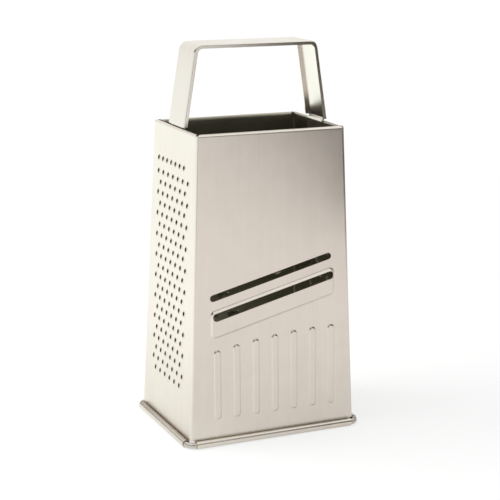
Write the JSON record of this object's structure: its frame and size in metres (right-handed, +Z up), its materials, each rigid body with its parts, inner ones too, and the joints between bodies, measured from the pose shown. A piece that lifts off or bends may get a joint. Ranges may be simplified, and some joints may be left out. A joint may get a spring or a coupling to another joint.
{
  "type": "box grater",
  "caption": "Tapered four-sided box grater of folded steel sheet: slicing front, toothed sides and back, wired base, open top and a wide strap handle.",
  "frame": {"origin": "middle of the footprint, on the surface that the grater stands on", "axes": "+Z up along the height; the slicing side faces -Y, the fine side faces -X"},
  "size_m": [0.1134, 0.086, 0.2275],
  "materials": {
    "body_sheet": "brushed",
    "rear_sheet": "brushed",
    "wire": "drawn",
    "strap": "polished"
  },
  "bodies": {
    "root": {"front_and_sides": "body_sheet", "rear_panel": "rear_sheet", "base_wire": "wire", "handle": "strap"}
  },
  "joints": []
}
